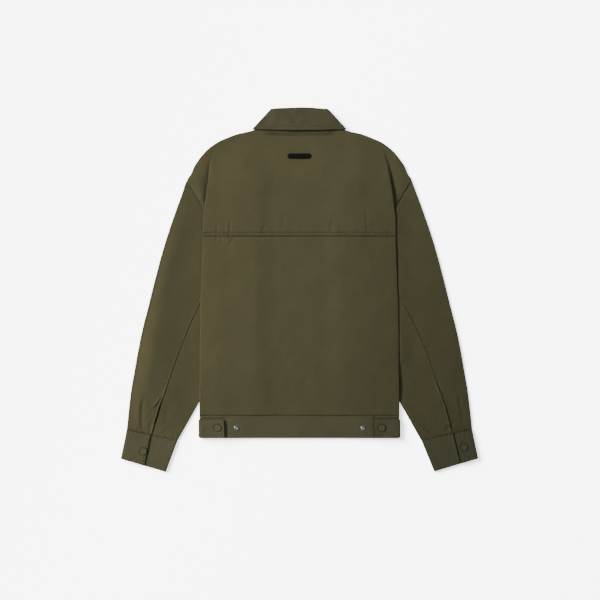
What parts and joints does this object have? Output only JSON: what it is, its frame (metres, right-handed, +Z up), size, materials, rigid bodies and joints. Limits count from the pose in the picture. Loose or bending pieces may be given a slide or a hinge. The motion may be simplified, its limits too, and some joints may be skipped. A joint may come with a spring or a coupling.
{
  "type": "work jacket laid flat, back up",
  "caption": "Boxy cotton twill work jacket laid flat on its front, with yoke, collar, snap cuffs and waist tabs.",
  "frame": {"origin": "on the surface that the jacket lies on, below the middle of its bounding box", "axes": "+Z up through the cloth, +Y from the hem to the collar, +X towards the wearer's right sleeve as seen from the back"},
  "size_m": [0.8042, 0.8176, 0.0126],
  "materials": {
    "shell": "olive cotton twill, matt, with a faint diagonal weave",
    "front_shell": "the same olive cotton twill, on the hidden fronts",
    "snap_paint": "satin olive paint on pressed metal caps",
    "stud_metal": "bare nickel-coloured snap studs",
    "patch": "bare black moulded patch, satin"
  },
  "bodies": {
    "root": {"back_yoke": "shell", "back_panel": "shell", "collar_leaf": "shell", "collar_stand": "shell", "waistband_back": "shell", "sleeve_upper_left": "shell", "sleeve_upper_right": "shell", "sleeve_under_left": "shell", "sleeve_under_right": "shell", "cuff_left": "shell", "cuff_right": "shell", "tab_left": "shell", "tab_right": "shell", "front_left": "front_shell", "front_right": "front_shell", "waistband_front_left": "front_shell", "waistband_front_right": "front_shell", "tab_snap_left": "snap_paint", "tab_snap_right": "snap_paint", "cuff_snap_left": "snap_paint", "cuff_snap_right": "snap_paint", "band_stud_left": "stud_metal", "band_stud_right": "stud_metal", "neck_patch": "patch"}
  },
  "joints": []
}
